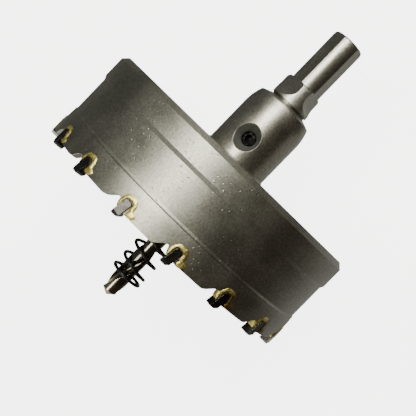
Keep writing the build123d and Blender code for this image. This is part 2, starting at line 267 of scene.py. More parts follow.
class Group(Graph):
    """A node group with named sockets."""

    def __init__(self, name: str, tree: Tree, inputs: Mapping[str, float | Kind]) -> None:
        """Starts the group.

        Args:
            name: Its name.
            tree: What kind of tree it is.
            inputs: Each input's kind, or the value of a number or a count.
        """
        super().__init__(bpy.data.node_groups.new(name, tree.value))
        for title, value in inputs.items():
            number = Kind.INT if isinstance(value, int) else Kind.VALUE
            kind = value if isinstance(value, Kind) else number
            socket = self.tree.interface.new_socket(title, in_out="INPUT", socket_type=kind.value)
            if kind is not value:
                socket.default_value = value
        self.given = self.tree.nodes.new("NodeGroupInput").outputs

    def move(self, shape: Socket, place: Socket) -> Socket:
        """Moves every point of a shape to its place."""
        return self.make("GeometryNodeSetPosition", {"Geometry": shape, "Position": place})

    def close(self, outputs: Mapping[str, Socket]) -> bpy.types.NodeTree:
        """Ends the group.

        Args:
            outputs: What goes out, by name.

        Returns:
            The finished group.
        """
        for name, socket in outputs.items():
            self.tree.interface.new_socket(name, in_out="OUTPUT", socket_type=Kind[socket.type].value)
        self.add("NodeGroupOutput", outputs)
        return self.tree

    def close_shape(self, shape: Socket, material: bpy.types.Material) -> bpy.types.NodeTree:
        """Ends a Geometry Nodes tree with smooth shading, real instances and the material.

        Args:
            shape: The finished shape.
            material: Its finish.

        Returns:
            The finished tree.
        """
        smooth = self.make("GeometryNodeSetShadeSmooth", {"Geometry": shape})
        real = self.make("GeometryNodeRealizeInstances", {"Geometry": smooth})
        finished = self.make("GeometryNodeSetMaterial", {"Geometry": real, "Material": material})
        return self.close({"Geometry": finished})


# Shared effects


@dataclass(frozen=True)
class Blasting:
    """What bead blasting leaves on the metal. Tones are shares of the colour, and a speck's size is a
    share of its cell's."""

    cloud_scale: float = 90.0
    cloud_tone: float = 0.05
    cloud_roughness: float = 0.035
    grain_range: Pair = (0.36, 0.64)
    grain_tone: float = 0.15
    cluster_scale: float = 60.0
    cluster_range: Pair = (0.46, 0.62)
    stray_share: float = 0.25
    cell_scale: float = 520.0
    speck_size: Pair = (0.06, 0.17)
    speck_crown: Pair = (0.7, 0.3)
    pit_share: float = 0.55
    speck_height: float = 7.5e-5
    # Painted highlight and painted shade: how much lighter raised specks and darker pits are in colour.
    speck_painted_light: float = 0.35


class Effects:
    """Surface effects that several finishes share, each one a shader node group that is built once."""

    def __init__(self, teeth: "ToothRing") -> None:
        """Builds every group.

        Args:
            teeth: Where the tips stand, for the stain that their brazing leaves.
        """
        self.axis = self._round_axis()
        self.map = self._skin_map()
        self.blast = self._blasted_skin(Blasting())
        self.lines = self._turned_lines()
        self.edges = self._edge_wear()
        # Painted shade for the inside of the screw's mouth.
        self.mouth = self._painted_mouth_shade()
        self.heat = self._brazing_heat(teeth)

    @staticmethod
    def _round_axis() -> bpy.types.NodeTree:
        """A point's angle round the saw's axis, its distance from it and its place along it.

        Returns:
            The group.
        """
        graph = Group("Round the axis", Tree.SHADER, {})
        x, y, z = graph.split(graph.place())
        angle = graph.math("ARCTAN2", graph.times(y, -1.0), z)
        return graph.close({"Angle": angle, "Radius": graph.length(y, z), "Along": x})

    def _skin_map(self) -> bpy.types.NodeTree:
        """A flat map of the metal: rolled off on faces round the axis, straight on faces across it.

        Returns:
            The group.
        """
        facing_along = 0.8
        graph = Group("Skin map", Tree.SHADER, {})
        axis = graph.use(self.axis)
        _, y, z = graph.split(graph.place())
        rolled = graph.join(graph.times(axis["Angle"], axis["Radius"]), axis["Along"])
        facing = graph.math("ABSOLUTE", graph.split(graph.normal())[0])
        across = graph.math("GREATER_THAN", facing, facing_along)
        both = graph.add("ShaderNodeMix", {"Factor": across}, data_type="VECTOR")
        for socket, value in zip(live(both.inputs, "VECTOR"), (rolled, graph.join(y, z))):
            graph.feed(socket, value)
        return graph.close({"Map": live(both.outputs, "VECTOR")[0]})

    def _blasted_skin(self, blasting: Blasting) -> bpy.types.NodeTree:
        """Bead-blasted metal: fine grain, cloudy patches, and pits and specks in loose clusters, with the
        specks' colour painted lighter on raised ones and darker in pits.

        Args:
            blasting: How coarse and how deep everything is.

        Returns:
            The group.
        """
        numbers = dict.fromkeys(("Grain", "Grain Depth", "Speck Share"), Kind.VALUE)
        graph = Group("Blasted skin", Tree.SHADER, {"Colour": Kind.RGBA, **numbers})
        given = graph.given
        place = graph.place()
        grain = graph.noise(place, given["Grain"], detail=2.0, roughness=0.7)
        cloud = graph.noise(place, blasting.cloud_scale, detail=3.0)
        clusters = graph.noise(place, blasting.cluster_scale, detail=1.0)
        cluster = graph.ramp(clusters, *blasting.cluster_range)

        net = {"Vector": graph.use(self.map)["Map"], "Scale": blasting.cell_scale}
        cells = graph.add("ShaderNodeTexVoronoi", net, feature="F1", voronoi_dimensions="2D").outputs
        lot = graph.add("ShaderNodeSeparateColor", {0: cells["Color"]}).outputs
        share = graph.times(given["Speck Share"], graph.plus(cluster, blasting.stray_share))
        chosen = graph.math("LESS_THAN", lot[0], share)
        size = graph.ramp(lot[1], 0.0, 1.0, *blasting.speck_size)
        closeness = graph.math("SUBTRACT", 1.0, graph.over(cells["Distance"], size), clamp=True)
        bump = graph.times(graph.math("SMOOTH_MIN", closeness, *blasting.speck_crown), chosen)
        raised = graph.math("GREATER_THAN", lot[2], blasting.pit_share)
        speck = graph.times(bump, graph.minus(graph.times(raised, 2.0), 1.0))

        clouding = graph.ramp(cloud, *NOISE, -blasting.cloud_tone, blasting.cloud_tone)
        graining = graph.ramp(grain, *blasting.grain_range, -blasting.grain_tone, blasting.grain_tone)
        light = graph.plus(1.0, graph.plus(clouding, graining))
        # Painted highlight and painted shade: raised specks are lighter and pits darker, in step with their
        # height.
        tone = graph.plus(light, graph.times(speck, blasting.speck_painted_light))
        grain_height = graph.times(grain, given["Grain Depth"])
        return graph.close({
            "Colour": graph.mix(1.0, given["Colour"], graph.grey(tone), "MULTIPLY"),
            "Roughness Shift": graph.ramp(cloud, *NOISE, -blasting.cloud_roughness, blasting.cloud_roughness),
            "Height": graph.plus(grain_height, graph.times(speck, blasting.speck_height)),
        })

    def _turned_lines(self) -> bpy.types.NodeTree:
        """The fine rings that a lathe leaves, on faces round the axis and on faces across it.

        Returns:
            The group.
        """
        wobble = 0.0004
        graph = Group("Turned lines", Tree.SHADER, {"Depth": Kind.VALUE, "Pitch": 3000.0})
        axis = graph.use(self.axis)
        track = graph.plus(axis["Along"], axis["Radius"])
        place = graph.join(track, graph.times(axis["Angle"], wobble))
        rings = graph.noise(place, graph.given["Pitch"], detail=3.0, roughness=0.6)
        return graph.close({"Height": graph.times(rings, graph.given["Depth"])})

    @staticmethod
    def _edge_wear() -> bpy.types.NodeTree:
        """Softens sharp edges in the normal, and masks where handling has polished them.

        Returns:
            The group.
        """
        untouched, polished = 0.995, 0.93
        wear_range = (0.35, 0.6)
        graph = Group("Edge wear", Tree.SHADER, {"Width": Kind.VALUE, "Breaks": 900.0})
        soft = graph.make("ShaderNodeBevel", {"Radius": graph.given["Width"]}, samples=6)
        both = {0: soft, 1: graph.normal()}
        turn = graph.add("ShaderNodeVectorMath", both, operation="DOT_PRODUCT").outputs["Value"]
        breaks = graph.ramp(graph.noise(graph.place(), graph.given["Breaks"]), *wear_range)
        edge = graph.ramp(turn, untouched, polished)
        return graph.close({"Mask": graph.times(edge, breaks, clamp=True), "Normal": soft})

    @staticmethod
    def _painted_mouth_shade() -> bpy.types.NodeTree:
        """Masks the inside of the screw's mouth, where shade is painted into the hollow.

        Returns:
            The group.
        """
        reach, edge = 0.0045, 0.0002
        graph = Group("Painted mouth shade", Tree.SHADER, {"Along": Kind.VALUE, "Angle": Kind.VALUE})
        x, y, z = graph.split(graph.place())
        sine, cosine = (graph.math(name, graph.given["Angle"]) for name in ("SINE", "COSINE"))
        outward = graph.minus(graph.times(z, cosine), graph.times(y, sine))
        aside = graph.plus(graph.times(z, sine), graph.times(y, cosine))
        away = graph.length(aside, graph.minus(x, graph.given["Along"]))
        facing_out = graph.math("GREATER_THAN", outward, 0.0)
        return graph.close({"Mask": graph.times(graph.ramp(away, reach, reach - edge), facing_out)})

    def _brazing_heat(self, teeth: "ToothRing") -> bpy.types.NodeTree:
        """Masks the steel round each tip that the torch and the flux have stained.

        Args:
            teeth: Where the tips stand.

        Returns:
            The group. Beside Tip is the distance from the tip, and Trailing masks the side behind it.
        """
        spread, raggedness, ragged_scale = 0.0014, 0.0013, 700.0
        stained, tinted = (1.0, 0.3), (2.6, 0.8)
        trailing_start, trailing_end = 0.3 * teeth.half_width, 1.2 * teeth.half_width
        graph = Group("Brazing heat", Tree.SHADER, {})
        axis = graph.use(self.axis)
        pitch = 2 * pi / teeth.count
        even = graph.minus(axis["Angle"], teeth.first_angle)
        swing = graph.times(graph.math("SINE", graph.times(even, teeth.swings)), teeth.swing)
        offset = graph.math("WRAP", graph.minus(even, swing), pitch / 2, -pitch / 2)
        across = graph.times(offset, teeth.rim_radius)
        above = graph.minus(axis["Along"], teeth.rim_along)
        centred = graph.minus(across, graph.times(above, tan(teeth.lean)))
        aside = graph.math("ABSOLUTE", centred)
        tail = graph.ramp(above, 0.0, teeth.tail_rise, teeth.tail_spread, 0.0)
        behind = graph.math("GREATER_THAN", centred, 0.0)
        width = graph.plus(teeth.half_width, graph.times(behind, tail))
        beyond = graph.math("MAXIMUM", graph.minus(aside, width), 0.0)
        over = graph.math("MAXIMUM", graph.minus(above, teeth.root_above), 0.0)
        beside = graph.math("MAXIMUM", graph.minus(aside, teeth.half_width), 0.0)
        ragged = graph.times(graph.noise(graph.place(), ragged_scale, detail=3.0), raggedness)
        share = graph.over(graph.plus(graph.length(beyond, over), ragged), spread)
        return graph.close({
            "Stain": graph.ramp(share, *stained),
            "Tint": graph.ramp(share, *tinted),
            "Beside Tip": graph.length(beside, over),
            "Trailing": graph.ramp(centred, trailing_start, trailing_end),
        })


# Finishes


def new_material(name: str) -> tuple[bpy.types.Material, Graph, bpy.types.Node]:
    """A material with only a Principled BSDF.

    Args:
        name: The material's name.

    Returns:
        The material, its graph and the shader.
    """
    material = bpy.data.materials.new(name)
    material.use_nodes = True
    shader = material.node_tree.nodes["Principled BSDF"]
    return material, Graph(material.node_tree), shader


@dataclass(frozen=True)
class Look:
    """What a finish feeds into its shader. The height is a bump over the normal of softened edges."""

    colour: Value
    roughness: Value
    height: Socket
    softened: Socket
    metallic: Value = 1.0


@dataclass(frozen=True)
class Finish:
    """A finish that becomes one material."""

    name: str

    def look(self, graph: Graph, effects: Effects) -> Look:
        """Every finish has its own look."""
        raise NotImplementedError

    def material(self, effects: Effects) -> bpy.types.Material:
        """Builds the material.

        Args:
            effects: The shared node groups.

        Returns:
            The material.
        """
        material, graph, shader = new_material(self.name)
        look = self.look(graph, effects)
        relief = {"Height": look.height, "Normal": look.softened, "Strength": 1.0, "Distance": 1.0}
        values = {
            "Base Color": look.colour,
            "Metallic": look.metallic,
            "Roughness": look.roughness,
            "Normal": graph.make("ShaderNodeBump", relief),
        }
        for name, value in values.items():
            graph.feed(shader.inputs[name], value)
        return material


@dataclass(frozen=True)
class SatinNickel(Finish):
    """The blasted, plated steel of the cup and the arbor."""

    colour: Colour = (0.425, 0.420, 0.358, 1.0)
    worn: Colour = (0.62, 0.61, 0.57, 1.0)
    stain: Colour = (0.10, 0.065, 0.035, 1.0)
    tint: Colour = (0.36, 0.30, 0.20, 1.0)
    # Painted shade: the darker colour put into the neck groove and the screw's mouth, standing in for shade
    # in these hollows.
    hollow_shade: Colour = (0.15, 0.15, 0.14, 1.0)
    roughness: float = 0.39
    polish: float = 0.12
    grain: float = 1500.0
    grain_depth: float = 1.6e-5
    speck_share: float = 0.38
    line_depth: float = 2e-6
    edge_width: float = 0.00015
    heated: bool = False
    stain_strength: float = 0.8
    tint_strength: float = 0.5
    groove: Pair | None = None
    groove_reach: Pair = (1.3, 0.8)
    # How strongly the painted shade darkens the neck groove.
    groove_shade_strength: float = 0.85
    mouth: Pair | None = None
    # Painted shade: how much less metallic the mouth is, so that it reads darker.
    mouth_shade_metal_drop: float = 0.55

    def look(self, graph: Graph, effects: Effects) -> Look:
        """Blasted metal with lathe lines and polished edges, heat stains where they belong, and painted shade
        in the neck groove and the screw's mouth.

        Args:
            graph: The material's graph.
            effects: The shared node groups.

        Returns:
            The look.
        """
        skin = graph.use(effects.blast, {
            "Colour": self.colour,
            "Grain": self.grain,
            "Grain Depth": self.grain_depth,
            "Speck Share": self.speck_share,
        })
        lines = graph.use(effects.lines, {"Depth": self.line_depth})
        edges = graph.use(effects.edges, {"Width": self.edge_width})
        colour = graph.mix(edges["Mask"], skin["Colour"], self.worn)
        roughness = graph.plus(self.roughness, skin["Roughness Shift"])
        roughness = graph.minus(roughness, graph.times(edges["Mask"], self.polish))
        metallic: Value = 1.0
        if self.heated:
            heat = graph.use(effects.heat)
            colour = graph.mix(graph.times(heat["Tint"], self.tint_strength), colour, self.tint)
            colour = graph.mix(graph.times(heat["Stain"], self.stain_strength), colour, self.stain)
        # Painted shade: a darker ring in the neck groove, where shade falls.
        if self.groove:
            middle, half_width = self.groove
            aside = graph.math("ABSOLUTE", graph.minus(graph.use(effects.axis)["Along"], middle))
            start, end = (share * half_width for share in self.groove_reach)
            colour = graph.mix(graph.ramp(aside, start, end, 0.0, self.groove_shade_strength), colour, self.hollow_shade)
        # Painted shade: darker and less metallic inside the screw's mouth, where shade falls.
        if self.mouth:
            inside = graph.use(effects.mouth, dict(zip(("Along", "Angle"), self.mouth)))["Mask"]
            colour = graph.mix(inside, colour, self.hollow_shade)
            metallic = graph.minus(1.0, graph.times(inside, self.mouth_shade_metal_drop))
        return Look(colour, roughness, graph.plus(skin["Height"], lines["Height"]), edges["Normal"], metallic)


@dataclass(frozen=True)
class BlackSteel(Finish):
    """Blackened steel of the grub screw and the spring, rubbed bright where it is handled."""

    colour: Colour = (0.018, 0.017, 0.016, 1.0)
    rubbed: Colour = (0.16, 0.15, 0.14, 1.0)
    roughness: float = 0.30
    roughness_range: Pair = (-0.06, 0.1)
    metallic: float = 0.6
    mottle: float = 1800.0
    mottle_depth: float = 6e-6
    rubbed_range: Pair = (0.55, 0.75)
    rubbed_share: float = 0.35
    edge_width: float = 0.00015

    def look(self, graph: Graph, effects: Effects) -> Look:
        """Mottled black, brighter on its edges.

        Args:
            graph: The material's graph.
            effects: The shared node groups.

        Returns:
            The look.
        """
        mottle = graph.noise(graph.place(), self.mottle, detail=3.0)
        edges = graph.use(effects.edges, {"Width": self.edge_width})
        rubbed = graph.times(graph.ramp(mottle, *self.rubbed_range), self.rubbed_share)
        colour = graph.mix(graph.math("MAXIMUM", rubbed, edges["Mask"]), self.colour, self.rubbed)
        smoother, rougher = (self.roughness + shift for shift in self.roughness_range)
        roughness = graph.ramp(mottle, *NOISE, smoother, rougher)
        return Look(colour, roughness, graph.times(mottle, self.mottle_depth), edges["Normal"], self.metallic)


@dataclass(frozen=True)
class DrillSteel(Finish):
    """Dark high-speed steel with bright ground lips at the point."""

    point_along: float
    land_radius: float
    land: Colour = (0.30, 0.285, 0.23, 1.0)
    flute: Colour = (0.16, 0.15, 0.11, 1.0)
    ground: Colour = (0.62, 0.56, 0.38, 1.0)
    browned: Colour = (0.08, 0.07, 0.045, 1.0)
    patch_scale: float = 800.0
    browned_range: Pair = (0.45, 0.75)
    browned_share: float = 0.35
    land_edge: Pair = (0.00008, 0.00003)
    bright_fade: Pair = (0.0085, 0.0034)
    bright_raggedness: float = 0.002
    bright_edges: float = 0.55
    roughness: Pair = (0.14, 0.24)
    edges: tuple[tuple[str, float], ...] = (("Width", 0.00012), ("Breaks", 2500.0))
    lines: tuple[tuple[str, float], ...] = (("Depth", 6e-7), ("Pitch", 6000.0))

    def look(self, graph: Graph, effects: Effects) -> Look:
        """Dark flutes, paler lands, and bare metal towards the point.

        Args:
            graph: The material's graph.
            effects: The shared node groups.

        Returns:
            The look.
        """
        axis = graph.use(effects.axis)
        edges = graph.use(effects.edges, dict(self.edges))
        lines = graph.use(effects.lines, dict(self.lines))
        start, end = (self.land_radius - depth for depth in self.land_edge)
        patch = graph.noise(graph.place(), self.patch_scale, detail=3.0)
        colour = graph.mix(graph.ramp(axis["Radius"], start, end), self.flute, self.land)
        brown = graph.ramp(patch, *self.browned_range, 0.0, self.browned_share)
        colour = graph.mix(brown, colour, self.browned)
        from_point = graph.minus(axis["Along"], self.point_along)
        ragged = graph.plus(from_point, graph.times(patch, self.bright_raggedness))
        near = graph.ramp(ragged, *self.bright_fade)
        bright = graph.math("MAXIMUM", near, graph.times(edges["Mask"], self.bright_edges))
        roughness = graph.ramp(patch, *NOISE, *self.roughness)
        return Look(graph.mix(bright, colour, self.ground), roughness, lines["Height"], edges["Normal"])


@dataclass(frozen=True)
class Carbide(Finish):
    """Ground tungsten carbide, scorched where the torch reached it."""

    colour: Colour = (0.105, 0.103, 0.097, 1.0)
    darkened: Colour = (0.06, 0.05, 0.04, 1.0)
    scorch_scale: float = 600.0
    darkening_range: Pair = (0.45, 0.7)
    scorched_share: float = 0.6
    worn: Colour = (0.5, 0.49, 0.46, 1.0)
    worn_share: float = 0.5
    roughness: Pair = (0.24, 0.38)
    scratch_scale: float = 7000.0
    scratch_stretch: Place = (0.2, 1.0, 1.0)
    scratch_depth: float = 3e-6
    edges: tuple[tuple[str, float], ...] = (("Width", 0.00012), ("Breaks", 2500.0))

    def look(self, graph: Graph, effects: Effects) -> Look:
        """Dark ground metal with scratches along the saw.

        Args:
            graph: The material's graph.
            effects: The shared node groups.

        Returns:
            The look.
        """
        place = graph.place()
        stretched = graph.make("ShaderNodeMapping", {"Vector": place, "Scale": self.scratch_stretch})
        scratches = graph.noise(stretched, self.scratch_scale)
        edges = graph.use(effects.edges, dict(self.edges))
        patch = graph.noise(place, self.scorch_scale)
        burnt = graph.ramp(patch, *self.darkening_range, 0.0, self.scorched_share)
        colour = graph.mix(burnt, self.colour, self.darkened)
        colour = graph.mix(graph.times(edges["Mask"], self.worn_share), colour, self.worn)
        roughness = graph.ramp(scratches, *NOISE, *self.roughness)
        return Look(colour, roughness, graph.times(scratches, self.scratch_depth), edges["Normal"])


@dataclass(frozen=True)
class Braze(Finish):
    """Pale gold braze, browned by flux in its hollows and against the tips, with painted shade on the
    trailing sides of the tips that face away from the light.
    """

    colour: Colour = (0.93, 0.81, 0.27, 1.0)
    browned: Colour = (0.20, 0.11, 0.045, 1.0)
    roughness: Pair = (0.35, 0.60)
    roughness_range: Pair = (0.35, 0.7)
    line_fade: Pair = (0.00038, 0.000114)
    line_raggedness: float = 0.001
    line_strength: float = 0.75
    spot_range: Pair = (0.60, 0.74)
    spot_strength: float = 0.7
    # Painted shade: where round the rim the tips' trailing sides face away from the light, and how strongly
    # they are browned.
    shade_side_angle: float = radians(60.0)
    darkening_range: Pair = (0.5, 0.85)
    trailing_shade_strength: float = 0.9
    lump_scale: float = 900.0
    lump_height: float = 6e-5
    flux_scale: float = 1500.0
    edge_width: float = 0.0002

    def look(self, graph: Graph, effects: Effects) -> Look:
        """Lumpy gold with brown lines and spots, and painted shade behind the tips on the side away from the
        light.

        Args:
            graph: The material's graph.
            effects: The shared node groups.

        Returns:
            The look.
        """
        place = graph.place()
        lumps = graph.noise(place, self.lump_scale)
        flux = graph.noise(place, self.flux_scale, detail=3.0)
        heat = graph.use(effects.heat)
        # Painted shade: the trailing sides of the tips on the side away from the light are browned, standing
        # in for shade.
        from_shade_side = graph.minus(graph.use(effects.axis)["Angle"], self.shade_side_angle)
        towards = graph.math("COSINE", from_shade_side)
        away_from_light = graph.ramp(towards, *self.darkening_range, 0.0, self.trailing_shade_strength)
        darkened = graph.times(away_from_light, heat["Trailing"])
        ragged = graph.plus(heat["Beside Tip"], graph.times(graph.minus(flux, 0.5), self.line_raggedness))
        against = graph.ramp(ragged, *self.line_fade, 0.0, self.line_strength)
        spotted = graph.ramp(flux, *self.spot_range, 0.0, self.spot_strength)
        brown = graph.math("MAXIMUM", graph.math("MAXIMUM", against, spotted), darkened)
        edges = graph.use(effects.edges, {"Width": self.edge_width})
        roughness = graph.ramp(flux, *self.roughness_range, *self.roughness)
        colour = graph.mix(brown, self.colour, self.browned)
        return Look(colour, roughness, graph.times(lumps, self.lump_height), edges["Normal"])


# Pieces


def placed(name: str, data: bpy.types.ID) -> bpy.types.Object:
    """Puts data into the scene as an object.

    Args:
        name: The object's name.
        data: What it holds.

    Returns:
        The object.
    """
    newcomer = bpy.data.objects.new(name, data)
    bpy.context.scene.collection.objects.link(newcomer)
    return newcomer


def finish_node(name: str, material: bpy.types.Material) -> None:
    """Puts a material on a CAD node's slots."""
    for slot in frame["nodes"][name].material_slots:
        slot.material = material


def grown_piece(
    name: str, tree: bpy.types.NodeTree, values: Mapping[str, object], seed_mesh: bpy.types.Mesh | None = None
) -> bpy.types.Object:
    """Runs a Geometry Nodes tree and keeps its result as a plain mesh.

    Args:
        name: The piece's name.
        tree: The tree.
        values: Its inputs, by name.
        seed_mesh: The mesh that goes in, if the tree reads one.

    Returns:
        The piece, without the modifier.
    """
    maker = placed(f"{name}_maker", seed_mesh or bpy.data.meshes.new(f"{name}_seed"))
    modifier = maker.modifiers.new("grow", "NODES")
    modifier.node_group = tree
    sockets = {entry.name: entry.identifier for entry in tree.interface.items_tree if entry.in_out == "INPUT"}
    for input_name, value in values.items():
        modifier[sockets[input_name]] = value
    maker.update_tag()
    graph = bpy.context.evaluated_depsgraph_get()
    mesh = bpy.data.meshes.new_from_object(maker.evaluated_get(graph))
    mesh.name = name
    bpy.data.objects.remove(maker)
    return placed(name, mesh)


@dataclass
class ToothRing:
    """The ring of brazed tips: where each one stands on the rim."""

    count: int = 16
    first_angle: float = radians(5.8)
    swing: float = radians(1.1)
    swings: int = 2
    lean: float = radians(9.0)
    half_width: float = 1.5 * MM
    root_above: float = 4.1 * MM
    tail_spread: float = 3.0 * MM
    tail_rise: float = 3.2 * MM

    def __post_init__(self) -> None:
        """Reads the rim's place and radius from the cup."""
        low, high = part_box("cup")
        self.rim_along = low.x
        self.rim_radius = (high.y - low.y) / 2

    def dress(self, effects: Effects) -> None:
        """Gives the tips their finish.

        Args:
            effects: The shared node groups.
        """
        carbide = Carbide("carbide").material(effects)
        for number in range(1, self.count + 1):
            finish_node(f"tooth_{number:02d}", carbide)
        LOG.info("tips: %d", self.count)


@dataclass(frozen=True)
class Gathering:
    """A place that braze flows to, in mm: across the tip, above the rim, and the size of the drop."""

    across: float
    above: float
    size: float


def gatherings(*rows: Place) -> tuple[Gathering, ...]:
    """Makes gatherings from rows of their three numbers."""
    return tuple(Gathering(*row) for row in rows)


@dataclass
class MoltenBraze:
    """The braze that has run round each tip and set, as drops that have flowed together. Sizes are in mm."""

    effects: Effects
    teeth: ToothRing
    wall: float = 2.7
    proud: float = 0.2
    inner_proud: float = 0.15
    drop_spacing: float = 0.45
    voxel: float = 0.17
    skin_threshold: float = 0.05
    unevenness: float = 0.16
    wave: float = 0.55
    wave_range: Pair = (0.35, 0.65)
    smoothing: int = 7
    skirt: tuple[Gathering, ...] = gatherings(
        (-1.85, 2.95, 0.7), (-1.9, 3.9, 0.95), (-1.3, 4.7, 1.2), (0.0, 4.9, 1.3), (1.4, 4.7, 1.4),
        (2.1, 3.9, 1.45), (2.35, 2.6, 1.5), (2.9, 1.75, 1.5), (4.3, 1.3, 1.3), (3.9, 0.75, 0.9),
        (2.6, 0.8, 1.1),
    )
    pool: tuple[Gathering, ...] = gatherings(
        (-1.6, 0.95, 0.6), (-1.8, 1.9, 1.0), (-2.0, 3.0, 1.3), (-1.9, 3.7, 1.2),
    )

    def _spread(self, path: Sequence[Gathering]) -> list[Gathering]:
        """Fills the path between gatherings with evenly spaced drops.

        Args:
            path: The gatherings.

        Returns:
            The drops.
        """
        drops = []
        for first, second in zip(path, path[1:]):
            length = hypot(second.across - first.across, second.above - first.above)
            steps = max(1, round(length / self.drop_spacing))
            pairs = ((first.across, second.across), (first.above, second.above), (first.size, second.size))
            for step in range(steps):
                drops.append(Gathering(*(low + step / steps * (high - low) for low, high in pairs)))
        return drops + [path[-1]]

    def _seed(self) -> bpy.types.Mesh:
        """Puts one tip's drops into a mesh of loose points.

        Returns:
            The mesh: across, above and out from the rim in mm, with each drop's size as an attribute.
        """
        places, sizes = [], []
        for drop in self._spread(self.skirt):
            for out in (self.proud - drop.size, -self.wall / 2, drop.size - self.wall - self.inner_proud):
                places.append((drop.across, drop.above, out))
                sizes.append(drop.size)
        for drop in self._spread(self.pool):
            depth = self.wall - 2 * drop.size + 2 * self.inner_proud
            steps = max(1, round(depth / self.drop_spacing))
            for step in range(steps + 1):
                places.append((drop.across, drop.above, self.inner_proud - drop.size - depth * step / steps))
                sizes.append(drop.size)
        mesh = bpy.data.meshes.new("braze_drops")
        mesh.from_pydata(places, [], [])
        mesh.attributes.new("size", "FLOAT", "POINT").data.foreach_set("value", sizes)
        return mesh

    @staticmethod
    def _bend_round_rim(graph: Group, points: Socket) -> Socket:
        """Leans the drops with their tip and bends them round the rim.

        Args:
            graph: The tree.
            points: The flat drops.

        Returns:
            The drops at azimuth zero.
        """
        given = graph.given
        across, above, out = graph.split(graph.make("GeometryNodeInputPosition"))
        leaning = graph.plus(across, graph.times(above, graph.math("TANGENT", given["Lean"])))
        angle = graph.over(leaning, given["Rim Radius"])
        radius = graph.plus(out, given["Rim Radius"])
        return graph.move(points, graph.join(
            graph.plus(above, given["Rim Along"]),
            graph.times(graph.times(radius, graph.math("SINE", angle)), -1.0),
            graph.times(radius, graph.math("COSINE", angle)),
        ))

    @staticmethod
    def _round_the_ring(graph: Group, points: Socket) -> Socket:
        """Repeats one tip's drops at every tip.

        Args:
            graph: The tree.
            points: The drops at azimuth zero.

        Returns:
            All the drops.
        """
        given = graph.given
        ring = graph.make("GeometryNodeMeshLine", {"Count": given["Count"], "Offset": (0.0, 0.0, 0.0)})
        index = graph.make("GeometryNodeInputIndex")
        even = graph.over(graph.times(index, 2 * pi), given["Count"])
        swing = graph.times(given["Swing"], graph.math("SINE", graph.times(even, given["Swings"])))
        turn = graph.plus(given["First Angle"], graph.plus(even, swing))
        rotation = graph.make("FunctionNodeEulerToRotation", {0: graph.join(turn)})
        settings = {"Points": ring, "Instance": points, "Rotation": rotation}
        copies = graph.make("GeometryNodeInstanceOnPoints", settings)
        return graph.make("GeometryNodeRealizeInstances", {"Geometry": copies})

    def _shrink(self, graph: Group, drops: Socket) -> Socket:
        """Makes the drops uneven in size, with their outer sides kept level.

        Args:
            graph: The tree.
            drops: All the drops.

        Returns:
            The drops, each with its own radius as an attribute.
        """
        given = graph.given
        size = graph.make("GeometryNodeInputNamedAttribute", {"Name": "size"}, data_type="FLOAT")
        uneven = graph.noise(graph.make("GeometryNodeInputPosition"), given["Wave"], detail=1.0)
        shrink = graph.times(graph.ramp(uneven, *self.wave_range), given["Unevenness"])
        radius = graph.times(size, graph.minus(1.0, shrink))
        stored = {"Geometry": drops, "Name": "radius_mm", "Value": radius}
        kept = graph.make("GeometryNodeStoreNamedAttribute", stored, data_type="FLOAT")
        lift = graph.plus(1.0, graph.over(graph.times(size, shrink), given["Rim Radius"]))
        x, y, z = graph.split(graph.make("GeometryNodeInputPosition"))
        return graph.move(kept, graph.join(x, graph.times(y, lift), graph.times(z, lift)))

    def _flow(self, graph: Group, drops: Socket) -> Socket:
        """Flows the drops together under one even skin.

        Args:
            graph: The tree.
            drops: The drops.

        Returns:
            The skin, in mm.
        """
        radius = graph.make("GeometryNodeInputNamedAttribute", {"Name": "radius_mm"}, data_type="FLOAT")
        molten = {"Points": drops, "Voxel Size": graph.given["Voxel"], "Radius": radius}
        volume = graph.make("GeometryNodePointsToVolume", molten, resolution_mode="VOXEL_SIZE")
        skin = graph.make("GeometryNodeVolumeToMesh", {"Volume": volume, "Threshold": self.skin_threshold})
        blur = graph.add("GeometryNodeBlurAttribute", data_type="FLOAT_VECTOR")
        graph.feed(live(blur.inputs, "VECTOR")[0], graph.make("GeometryNodeInputPosition"))
        graph.feed(blur.inputs["Iterations"], graph.given["Smoothing"])
        return graph.move(skin, live(blur.outputs, "VECTOR")[0])

    def _tree(self, values: Mapping[str, float]) -> bpy.types.NodeTree:
        """Builds the tree that flows the drops together.

        Args:
            values: The inputs' values, by name.

        Returns:
            The tree.
        """
        graph = Group("Molten braze", Tree.GEOMETRY, {"Geometry": Kind.GEOMETRY, **values})
        points = graph.make("GeometryNodeMeshToPoints", {"Mesh": graph.given["Geometry"]})
        drops = self._round_the_ring(graph, self._bend_round_rim(graph, points))
        skin = self._flow(graph, self._shrink(graph, drops))
        metres = graph.make("GeometryNodeTransform", {"Geometry": skin, "Scale": (MM, MM, MM)})
        return graph.close_shape(metres, Braze("braze").material(self.effects))

    def build(self) -> None:
        """Makes the braze of every tip, as one piece."""
        values = {
            "Rim Radius": self.teeth.rim_radius / MM,
            "Rim Along": self.teeth.rim_along / MM,
            "Lean": self.teeth.lean,
            "First Angle": self.teeth.first_angle,
            "Swing": self.teeth.swing,
            "Voxel": self.voxel,
            "Unevenness": self.unevenness,
            "Wave": self.wave,
            "Count": self.teeth.count,
            "Swings": self.teeth.swings,
            "Smoothing": self.smoothing,
        }
        piece = grown_piece("braze_runs", self._tree(values), values, self._seed())
        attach(piece, Body.SAW.value)
        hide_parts(*(f"braze_{number:02d}" for number in range(1, self.teeth.count + 1)))
        LOG.info("braze: %d faces", len(piece.data.polygons))


